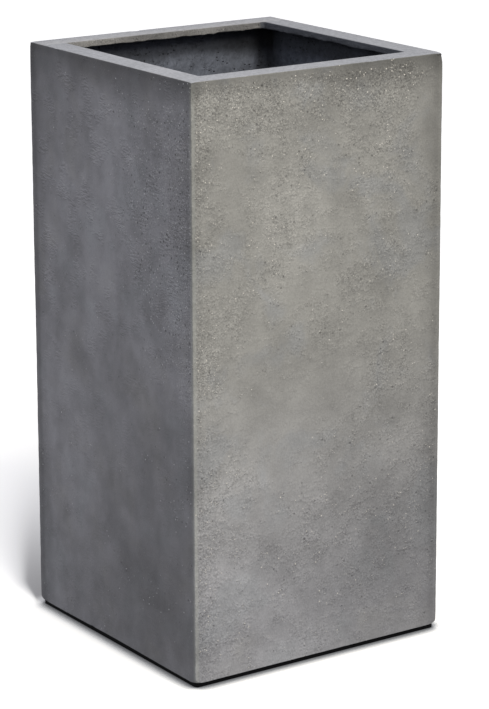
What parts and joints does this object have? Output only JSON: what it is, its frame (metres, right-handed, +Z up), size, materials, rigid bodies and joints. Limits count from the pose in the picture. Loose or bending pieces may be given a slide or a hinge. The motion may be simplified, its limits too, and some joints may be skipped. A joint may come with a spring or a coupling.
{
  "type": "square column planter",
  "caption": "Tall square fibre-cement column planter with a flat turned-in rim, a recessed black base pan and a lift-out drain bung.",
  "frame": {"origin": "on the ground, in the middle of the square foot", "axes": "+Z up through the mouth; X and Y square to the faces; the two faces that the picture shows are -Y (bright) and -X (dark)"},
  "size_m": [0.4, 0.4, 0.806],
  "materials": {
    "fibre_cement": "matt grey cement, cloudy, with fine pits and pale grains of sand",
    "black_laminate": "satin black glass-fibre laminate",
    "black_sealant": "tooled black sealant",
    "dark_rubber": "moulded dark grey rubber"
  },
  "bodies": {
    "planter": {"shell": "fibre_cement", "base_pan": "black_laminate", "seal_bead": "black_sealant"},
    "bung": {"drain_bung": "dark_rubber"}
  },
  "joints": [
    {"name": "drain_bung_lift", "type": "slide", "parent": "planter", "child": "bung", "axis": [0, 0, 1], "range_m": [0, 0.85]}
  ]
}
